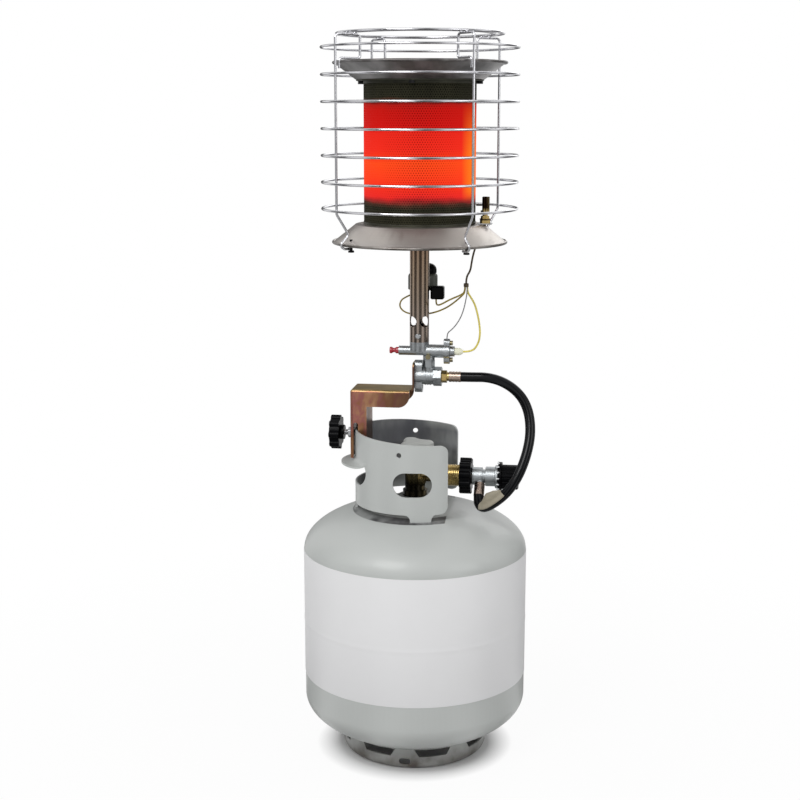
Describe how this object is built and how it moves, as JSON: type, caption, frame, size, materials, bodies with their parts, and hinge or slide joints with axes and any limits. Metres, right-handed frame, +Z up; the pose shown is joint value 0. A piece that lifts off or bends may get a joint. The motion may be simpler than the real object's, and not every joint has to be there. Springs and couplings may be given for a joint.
{
  "type": "portable propane heater",
  "caption": "Infrared heating head with a glowing perforated screen and wire guard, clamped to the collar of the upright gas cylinder that feeds it through a hose.",
  "frame": {"origin": "centre of the foot ring's underside, on the ground", "axes": "+Z up, +X through the collar's opening, where the regulator is screwed on"},
  "size_m": [0.3221, 0.311, 0.9899],
  "materials": {
    "tank_paint": "smooth grey enamel",
    "sleeve": "plain pale satin sleeve",
    "brass": "dull machined brass",
    "wheel_plastic": "moulded, light grey",
    "float_plastic": "moulded, natural",
    "black_plastic": "moulded, satin black",
    "cast_alloy": "bead-blasted die casting",
    "copper": "crimped copper sleeve",
    "hose_rubber": "smooth black",
    "bracket_zinc": "yellow zinc passivated sheet",
    "zinc_steel": "plated",
    "ivory_plastic": "moulded, ivory",
    "red_plastic": "moulded, dark red",
    "stainless_tube": "drawn stainless tube",
    "switch_grey": "moulded, grey-green",
    "dish_steel": "spun stainless sheet",
    "screen_steel": "perforated heat-resisting steel, glowing in use",
    "cap_steel": "heat-darkened sheet",
    "dark_screw": "blackened",
    "guard_chrome": "bright plated wire",
    "lead_brown": "fibre-covered lead",
    "lead_yellow": "yellow insulation",
    "lead_olive": "olive insulation",
    "lead_silver": "fine capillary"
  },
  "bodies": {
    "stand": {"bracket": "bracket_zinc", "button_spring": "zinc_steel", "clamp_nut": "zinc_steel", "collar": "tank_paint", "dip_tube": "float_plastic", "dish_screws": "dark_screw", "emitter_cap": "cap_steel", "emitter_screen": "screen_steel", "fine_lead": "lead_silver", "foot_ring": "tank_paint", "gas_hose": "hose_rubber", "guard_rings": "guard_chrome", "guard_rods": "guard_chrome", "guard_screws": "dark_screw", "guard_top_rings": "guard_chrome", "hose_ferrule_lower": "copper", "hose_ferrule_upper": "copper", "hose_fitting": "brass", "injector": "brass", "inner_screen": "screen_steel", "label_sleeve": "sleeve", "lead_connector": "ivory_plastic", "lead_sleeve": "lead_brown", "lower_dish": "dish_steel", "manifold": "cast_alloy", "manifold_screws": "zinc_steel", "mixing_tube": "stainless_tube", "regulator_body": "cast_alloy", "regulator_cap": "cast_alloy", "regulator_nipple": "brass", "relief_valve": "brass", "riser_nipple": "cast_alloy", "safety_valve_body": "cast_alloy", "sensor_body": "brass", "sensor_shelf": "zinc_steel", "switch_block": "black_plastic", "switch_can": "switch_grey", "switch_cap": "black_plastic", "switch_clip": "zinc_steel", "switch_lead_lower": "lead_olive", "switch_lead_upper": "lead_olive", "tank_bottom_shell": "tank_paint", "tank_top_shell": "tank_paint", "tank_valve_body": "brass", "thermocouple_lead": "lead_brown", "tube_screw": "zinc_steel", "upper_dish": "dish_steel", "valve_bung": "tank_paint", "valve_cover": "cast_alloy", "valve_screws": "brass", "yellow_lead": "lead_yellow"},
    "clamp_screw": {"clamp_screw": "zinc_steel"},
    "clamp_knob": {"clamp_knob": "black_plastic"},
    "safety_button": {"safety_button": "red_plastic"},
    "tank_handwheel": {"tank_handwheel": "wheel_plastic", "valve_spindle": "brass"},
    "coupling_nut": {"coupling_nut": "black_plastic"},
    "control_knob": {"control_knob": "black_plastic"},
    "bleed_screw": {"bleed_screw": "brass"},
    "level_float": {"level_float": "float_plastic"}
  },
  "joints": [
    {"name": "clamp_slide", "type": "slide", "parent": "stand", "child": "clamp_screw", "axis": [-1, 0, 0], "range_m": [0, 0.01]},
    {"name": "clamp_turn", "type": "hinge", "parent": "clamp_screw", "child": "clamp_knob", "pos_m": [-0.11, 0, 0.45], "axis": [-1, 0, 0], "range_deg": [0, 2880]},
    {"name": "button_push", "type": "slide", "parent": "stand", "child": "safety_button", "axis": [1, 0, 0], "range_m": [0, 0.006], "stiffness_N_per_m": 400, "deforming": ["button_spring"]},
    {"name": "tank_valve_turn", "type": "hinge", "parent": "stand", "child": "tank_handwheel", "pos_m": [0, 0, 0.43], "axis": [0, 0, 1], "range_deg": [-540, 0]},
    {"name": "coupling_turn", "type": "hinge", "parent": "stand", "child": "coupling_nut", "pos_m": [0.07, 0, 0.3935], "axis": [1, 0, 0], "range_deg": [0, 1080]},
    {"name": "control_turn", "type": "hinge", "parent": "stand", "child": "control_knob", "pos_m": [0.125, 0, 0.3935], "axis": [1, 0, 0], "range_deg": [0, 270]},
    {"name": "bleed_turn", "type": "hinge", "parent": "stand", "child": "bleed_screw", "pos_m": [0.011, -0.016, 0.3855], "axis": [0, -1, 0], "range_deg": [0, 360]},
    {"name": "float_swing", "type": "hinge", "parent": "stand", "child": "level_float", "pos_m": [0.0085, 0.004, 0.331], "axis": [0, -1, 0], "range_deg": [0, 50]}
  ],
  "couplings": [
    {"joint": "clamp_slide", "follows": "clamp_turn", "m_per_rad": 0.00019894}
  ]
}
